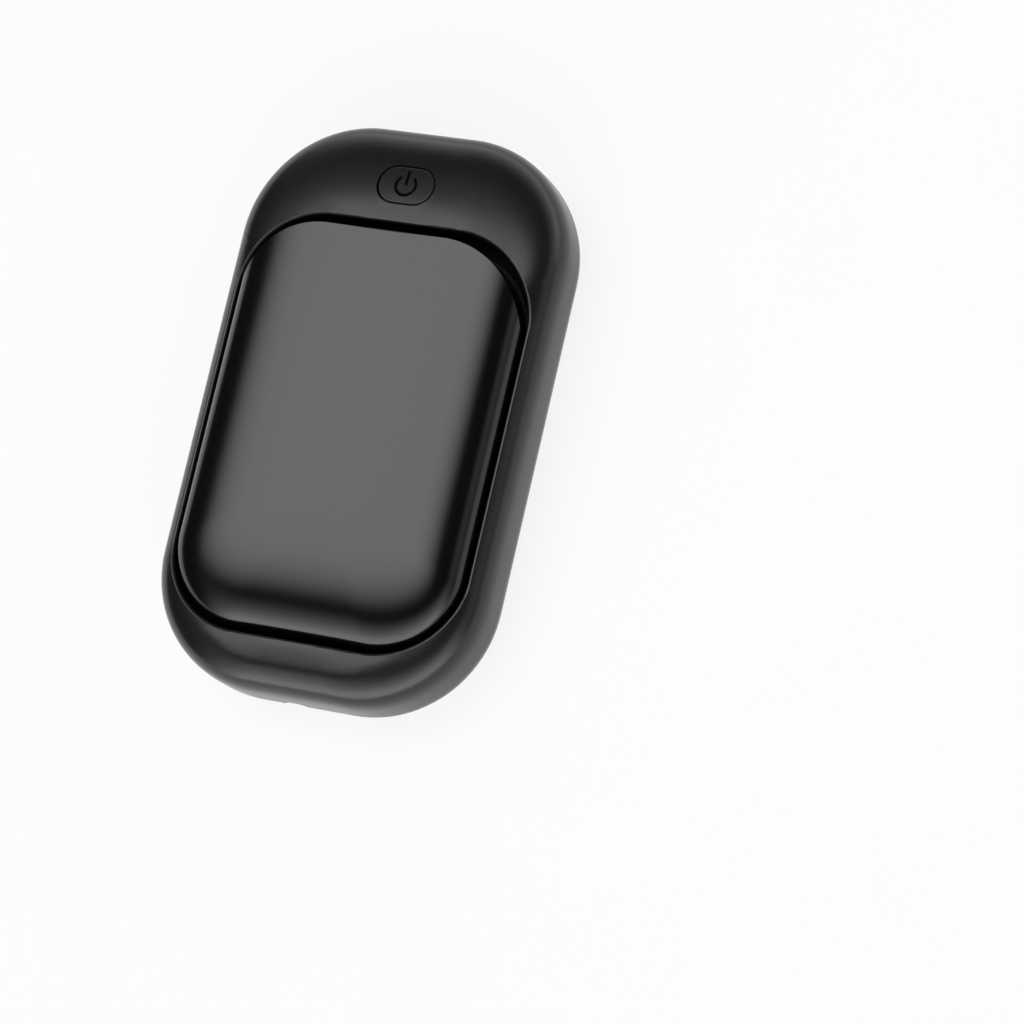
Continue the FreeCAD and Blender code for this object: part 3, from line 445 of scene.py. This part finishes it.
# %% Sharpen the ridge and hand the plate over
shade(plate)
marks = plate.data.attributes["ridge"]
ridge_edges = [edge for edge in plate.data.edges if all(marks.data[index].value for index in edge.vertices)]
for edge in ridge_edges:
    edge.use_edge_sharp = True
plate.data.attributes.remove(marks)
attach(plate, "case")
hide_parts("heating_plate")
print("plate sharpened along", len(ridge_edges), "ridge edges")

# %% [markdown]
# ## The four feet
#
# Each foot is a rubber plug with a rounded nose and a small flat to stand on, pressed into a round recess
# over a case screw. One foot is turned by a tree and set on the four corners of a rectangle, so a change to
# one foot changes all of them.

# %% Sizes of the feet
FEET = {"Radius": 2.6 * MM, "Nose Radius": 1.7 * MM, "Plug Height": 2.5 * MM, "Spacing X": 35.9 * MM,
        "Spacing Y": 75.8 * MM}
NOSE_SHARE = 0.75
ROUND_POINTS = 72
FOOT_RINGS = 26

tree = node_tree("rubber_feet", FEET)
sizes = add(tree, "NodeGroupInput").outputs
circle = add(tree, "GeometryNodeCurvePrimitiveCircle", {"Resolution": ROUND_POINTS, "Radius": 1.0})
tube, plan, climb = raise_tube(tree, circle.outputs[0], FOOT_RINGS)
print("foot tube:", len(tree.nodes), "nodes")

# %% Turn the nose and set four of them out
QUARTER_TURN = math.radians(90.0)

angle = add(tree, "ShaderNodeMapRange", {"Value": climb, "From Max": NOSE_SHARE, "To Max": QUARTER_TURN})
sine = add(tree, "ShaderNodeMath", {0: angle.outputs[0]}, operation="SINE")
cosine = add(tree, "ShaderNodeMath", {0: angle.outputs[0]}, operation="COSINE")
flat = add(tree, "ShaderNodeMath", {0: sizes["Radius"], 1: sizes["Nose Radius"]}, operation="SUBTRACT")
reach = add(tree, "ShaderNodeMath", {0: sine.outputs[0], 1: sizes["Nose Radius"], 2: flat.outputs[0]},
            operation="MULTIPLY_ADD")
wall = add(tree, "ShaderNodeMath", {0: sizes["Plug Height"], 1: sizes["Nose Radius"]}, operation="SUBTRACT")
above = add(tree, "ShaderNodeMapRange", {"Value": climb, "From Min": NOSE_SHARE, "To Max": wall.outputs[0]})
bow = add(tree, "ShaderNodeMath", {0: 1.0, 1: cosine.outputs[0]}, operation="SUBTRACT")
level = add(tree, "ShaderNodeMath", {0: bow.outputs[0], 1: sizes["Nose Radius"], 2: above.outputs[0]},
            operation="MULTIPLY_ADD")
spread = add(tree, "ShaderNodeVectorMath", {0: plan, "Scale": reach.outputs[0]}, operation="SCALE")
lift = add(tree, "ShaderNodeCombineXYZ", {"Z": level.outputs[0]})
target = add(tree, "ShaderNodeVectorMath", {0: spread.outputs[0], 1: lift.outputs[0]}, operation="ADD")
foot = add(tree, "GeometryNodeSetPosition", {"Geometry": tube, "Position": target.outputs[0]})
corners = add(tree, "GeometryNodeMeshGrid", {
    "Size X": sizes["Spacing X"], "Size Y": sizes["Spacing Y"], "Vertices X": 2, "Vertices Y": 2})
four = add(tree, "GeometryNodeInstanceOnPoints", {"Points": corners.outputs[0], "Instance": foot.outputs[0]})
whole = add(tree, "GeometryNodeRealizeInstances", {0: four.outputs[0]})
dressed = add(tree, "GeometryNodeSetMaterial", {"Geometry": whole.outputs[0], "Material": sizes["Finish"]})
add(tree, "NodeGroupOutput", {0: dressed.outputs[0]})
feet = plain_piece(tree, "rubber_feet", {**FEET, "Finish": foot_rubber})

# %% Turn the faces outward and hand the feet over
mesh = bmesh.new()
mesh.from_mesh(feet.data)
bmesh.ops.recalc_face_normals(mesh, faces=mesh.faces)
mesh.to_mesh(feet.data)
mesh.free()
shade(feet)
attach(feet, "case")
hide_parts("foot_left_front", "foot_right_front", "foot_left_rear", "foot_right_rear")
print("feet", round(FEET["Spacing X"] / MM, 1), "by", round(FEET["Spacing Y"] / MM, 1), "mm apart")

# %% [markdown]
# ## Inside: plastics, films and foams
#
# Nothing of the inside shows while the case is closed, but someone may take it apart. Natural plastics are
# slightly cloudy, the pouch of the cell is foil under a clear film, and a heater film is amber because
# polyimide is. The noise sizes differ by process: a moulding flows over centimetres, foam has cells of less
# than a millimetre.

# %% Finishes of plastics, films and foams
dress(finish("moulded polycarbonate", "#2b2c2e", "#303134", roughness=(0.42, 0.5),
             mottle_mm=14.0, grain_mm=0.3, bump_mm=0.003, IOR=1.58), "cell_tray")
dress(finish("polyimide heater film", "#b8660e", "#c8741a", roughness=(0.24, 0.32),
             mottle_mm=4.0, grain_mm=0.5, bump_mm=0.002, IOR=1.7), "heater_film")
dress(finish("closed-cell silicone foam", "#c9c4ba", "#d8d3c8", roughness=(0.8, 0.92),
             mottle_mm=2.0, grain_mm=0.35, bump_mm=0.03, IOR=1.41), "insulation_pad")
dress(finish("laminated pouch foil", "#b4b7ba", "#c6c9cc", roughness=(0.28, 0.42),
             mottle_mm=6.0, grain_mm=0.8, bump_mm=0.01, Metallic=0.9), "battery_cell")
dress(finish("acrylic foam adhesive", "#d9d9d4", "#e6e6e1", roughness=(0.7, 0.8),
             mottle_mm=2.5, grain_mm=0.3, bump_mm=0.015, IOR=1.48), "cell_pad")
dress(finish("moulded nylon", "#0d0d0e", "#141415", roughness=(0.42, 0.52),
             mottle_mm=4.0, grain_mm=0.2, bump_mm=0.003, IOR=1.53), "charge_socket", "switch_body")
dress(finish("turned acetal", "#e4e2da", "#efede6", roughness=(0.36, 0.44),
             mottle_mm=3.0, grain_mm=0.12, bump_mm=0.002, IOR=1.48), "switch_plunger")
dress(finish("printed polyester ribbon", "#d5d8dc", "#e2e5e8", roughness=(0.3, 0.38),
             mottle_mm=3.0, grain_mm=0.3, bump_mm=0.001, IOR=1.64), "switch_ribbon")

# %% [markdown]
# ## Inside: boards, components and leads
#
# The boards are glass-fibre laminate under a green mask. The weave of the glass shows through it as a fine
# unevenness. Chips are moulded in epoxy that is matt from the mould, chip capacitors are tan ceramic, and the
# coil sits in a grey ferrite. The leads have silicone sleeves in the usual colours.

# %% Finishes of boards, components and leads
LEADS = (
    ("red", "#9c1512", "#b01b16", ("cell_lead_positive",)),
    ("black", "#101011", "#171718", ("cell_lead_negative",)),
    ("white", "#d6d4cc", "#e4e2db", ("heater_lead_left", "heater_lead_right", "thermistor_lead_left",
                                     "thermistor_lead_right")))

dress(finish("masked glass-fibre laminate", "#0f4a2b", "#14583a", roughness=(0.3, 0.4),
             mottle_mm=5.0, grain_mm=0.45, bump_mm=0.006, IOR=1.55),
      "main_board", "protection_board", "button_board")
dress(finish("moulded black epoxy", "#161617", "#1d1d1e", roughness=(0.5, 0.62),
             mottle_mm=1.5, grain_mm=0.1, bump_mm=0.004, IOR=1.55),
      "charge_controller", "microcontroller", "heater_transistor", "resistors", "thermistor")
dress(finish("fired barium ceramic", "#8a6c4c", "#9a7b59", roughness=(0.4, 0.5),
             mottle_mm=1.0, grain_mm=0.1, bump_mm=0.002, IOR=1.9), "capacitors")
dress(finish("pressed ferrite", "#3a3b3d", "#47484a", roughness=(0.55, 0.68),
             mottle_mm=1.5, grain_mm=0.12, bump_mm=0.006, IOR=2.0), "power_inductor")
for colour_name, dark, light, lead_names in LEADS:
    dress(finish(f"{colour_name} silicone sleeve", dark, light, roughness=(0.42, 0.5),
                 mottle_mm=3.0, grain_mm=0.15, bump_mm=0.003, IOR=1.43), *lead_names)

# %% [markdown]
# ## Inside: metals
#
# Screws are zinc-plated steel with a satin sheen, the strips on the cell are rolled nickel, the switch is
# stamped from spring steel, and the contacts of the inlet are plated brass. A metal keeps the default IOR,
# because its colour already gives its reflection.

# %% Finishes of metals
dress(finish("zinc-plated steel", "#b9bcc0", "#cdd0d3", roughness=(0.28, 0.38),
             mottle_mm=1.5, grain_mm=0.1, bump_mm=0.003, Metallic=1.0),
      "case_screws", "board_screws", "button_board_screws")
dress(finish("rolled nickel strip", "#b3ada2", "#c1bcb1", roughness=(0.26, 0.36),
             mottle_mm=3.0, grain_mm=0.2, bump_mm=0.002, Metallic=1.0),
      "cell_tab_positive", "cell_tab_negative")
dress(finish("stamped spring steel", "#a9abad", "#babcbe", roughness=(0.24, 0.32),
             mottle_mm=2.0, grain_mm=0.15, bump_mm=0.001, Metallic=1.0), "switch_cover", "switch_dome")
dress(finish("nickel-plated brass", "#bdb5a2", "#cbc4b3", roughness=(0.2, 0.28),
             mottle_mm=2.0, grain_mm=0.12, bump_mm=0.001, Metallic=1.0),
      "charge_sleeve", "charge_tip_contact")

# %% [markdown]
# ## The camera
#
# The picture is taken from above with a long lens, about 70 centimetres away, so that the far end hardly
# shrinks. The camera could be aimed with a constraint, but its three axes as plain directions in the frame of
# the part say the same in three lines.

# %% Camera
RIGHT = Vector((0.9230, 0.2220, -0.3144))
UP = Vector((-0.1479, 0.9587, 0.2429))
BACK = Vector((0.3553, -0.1777, 0.9177))
CAMERA_PLACE = Vector((265.1, -130.3, 618.1)) * MM
LENS = 139.7
SENSOR_WIDTH = 36.0

camera_data = bpy.data.cameras.new("studio_camera")
camera_data.sensor_width = SENSOR_WIDTH
camera_data.lens = LENS
camera = bpy.data.objects.new("studio_camera", camera_data)
camera.matrix_world = Matrix.Translation(CAMERA_PLACE) @ Matrix((RIGHT, UP, BACK)).transposed().to_4x4()
bpy.context.scene.collection.objects.link(camera)
bpy.context.scene.camera = camera
print("camera", round(CAMERA_PLACE.length, 3), "m away, lens", LENS, "mm")

# %% [markdown]
# ## The floor
#
# A sheet of white studio paper, a little cloudy as rolled paper is. For the light it is ordinary diffuse
# paper, so it takes the shadow. Seen by the camera or in a reflection it is mixed with an even white, which
# is how a picture on pure white is made without pouring more light on the object.

# %% White studio paper
PAPER_SIZE = 8.0
PAPER_CLOUD = 25.0 * MM
WHITE_SHARE = 0.85
WHITE = linear("#ffffff")

paper = bpy.data.materials.new("white studio paper")
paper.use_nodes = True
tree = paper.node_tree
tree.nodes.clear()
place = add(tree, "ShaderNodeTexCoord").outputs["Object"]
cloud = add(tree, "ShaderNodeTexNoise", {"Vector": place, "Scale": 1 / PAPER_CLOUD})
tone = add(tree, "ShaderNodeMix", {
    "Factor": cloud.outputs[0], COLOUR_A: linear("#f2f2f1"), COLOUR_B: linear("#f6f6f5")}, data_type="RGBA")
lit = add(tree, "ShaderNodeBsdfDiffuse", {"Color": tone.outputs[COLOUR_OUT]})
glow = add(tree, "ShaderNodeEmission", {"Color": WHITE, "Strength": 1.0})
path = add(tree, "ShaderNodeLightPath")
seen = add(tree, "ShaderNodeMath", {0: path.outputs["Is Camera Ray"], 1: path.outputs["Is Glossy Ray"]},
           operation="MAXIMUM")
seen = add(tree, "ShaderNodeMath", {0: seen.outputs[0], 1: path.outputs["Is Transmission Ray"]},
           operation="MAXIMUM")
seen = add(tree, "ShaderNodeMath", {0: seen.outputs[0], 1: WHITE_SHARE}, operation="MULTIPLY")
both = add(tree, "ShaderNodeMixShader", {0: seen.outputs[0], 1: lit.outputs[0], 2: glow.outputs[0]})
add(tree, "ShaderNodeOutputMaterial", {"Surface": both.outputs[0]})
bpy.ops.mesh.primitive_plane_add(size=PAPER_SIZE)
floor = bpy.context.object
floor.name = "studio_paper"
floor.data.materials.append(paper)
print("floor", PAPER_SIZE, "m wide")

# %% [markdown]
# ## The studio
#
# A black glossy object is lit by what it mirrors, so the studio is drawn as a whole in the world. A large
# softbox hangs level over the table, and its soft edges end on the plate's shoulders. Lamps could do this
# too, but a lamp ends hard, and these edges have to fade. Each direction is placed on the softbox's level by
# dividing it by its height.

# %% The softbox
SOFTBOX_LIGHT = 3.55
SOFTBOX_EDGES = (("X", -1.35, -0.55), ("X", 0.42, -0.1), ("Y", -0.3, 0.14), ("Y", 0.52, 0.38))
HORIZON = 0.001

world = bpy.data.worlds.new("studio_surroundings")
bpy.context.scene.world = world
world.use_nodes = True
tree = world.node_tree
tree.nodes.clear()
way = add(tree, "ShaderNodeTexCoord").outputs["Generated"]
east, north, height = add(tree, "ShaderNodeSeparateXYZ", {0: way}).outputs
above = add(tree, "ShaderNodeMath", {0: height, 1: HORIZON}, operation="MAXIMUM").outputs[0]
heights = add(tree, "ShaderNodeCombineXYZ", {0: above, 1: above, 2: above})
ceiling = add(tree, "ShaderNodeVectorMath", {0: way, 1: heights.outputs[0]}, operation="DIVIDE")
ceiling = add(tree, "ShaderNodeSeparateXYZ", {0: ceiling.outputs[0]}).outputs
softbox = SOFTBOX_LIGHT
for axis, dark_at, full_at in SOFTBOX_EDGES:
    edge = add(tree, "ShaderNodeMapRange", {
        "Value": ceiling[axis], "From Min": dark_at, "From Max": full_at}, interpolation_type="SMOOTHSTEP")
    softbox = add(tree, "ShaderNodeMath", {0: edge.outputs[0], 1: softbox}, operation="MULTIPLY").outputs[0]
print("softbox edges:", SOFTBOX_EDGES)

# %% [markdown]
# White reflectors stand low round the table and draw the light strips along the lower shoulder of the plate.
# They reach highest at the inlet's end, fade out on the left, and are weak straight to the right, so that the
# coated side of the case stays dark. The rest of the room is dark, which gives the black edges between.
# Behind it all the camera sees white.

# %% The reflectors, the dark room and the white behind
REFLECTOR_LIGHT = 3.2
REFLECTOR_HEIGHTS = (0.65, -0.15)
REFLECTOR_SIDES = ((-0.85, -0.4), (1.05, 0.75))
FRONT_LEAN = 0.35
END_LEAN = -0.25
DARK_ROOM = 0.04

ends = add(tree, "ShaderNodeMath", {0: north}, operation="ABSOLUTE")
low = add(tree, "ShaderNodeMath", {0: ends.outputs[0], 1: END_LEAN, 2: height}, operation="MULTIPLY_ADD")
low = add(tree, "ShaderNodeMath", {0: north, 1: FRONT_LEAN, 2: low.outputs[0]}, operation="MULTIPLY_ADD")
low = add(tree, "ShaderNodeMapRange", {
    "Value": low.outputs[0], "From Min": REFLECTOR_HEIGHTS[0], "From Max": REFLECTOR_HEIGHTS[1],
    "To Max": REFLECTOR_LIGHT})
glow = low.outputs["Result"]
for dark_at, full_at in REFLECTOR_SIDES:
    side = add(tree, "ShaderNodeMapRange", {
        "Value": east, "From Min": dark_at, "From Max": full_at}, interpolation_type="SMOOTHSTEP")
    glow = add(tree, "ShaderNodeMath", {0: glow, 1: side.outputs[0]}, operation="MULTIPLY").outputs[0]
room = add(tree, "ShaderNodeMath", {0: glow, 1: DARK_ROOM}, operation="ADD")
studio = add(tree, "ShaderNodeMath", {0: softbox, 1: room.outputs[0]}, operation="ADD")
lit = add(tree, "ShaderNodeBackground", {"Color": WHITE, "Strength": studio.outputs[0]})
behind = add(tree, "ShaderNodeBackground", {"Color": WHITE, "Strength": 1.0})
path = add(tree, "ShaderNodeLightPath")
both = add(tree, "ShaderNodeMixShader", {
    0: path.outputs["Is Camera Ray"], 1: lit.outputs[0], 2: behind.outputs[0]})
add(tree, "ShaderNodeOutputWorld", {"Surface": both.outputs[0]})
bpy.context.scene.view_settings.view_transform = "Standard"
print("studio:", len(tree.nodes), "nodes")
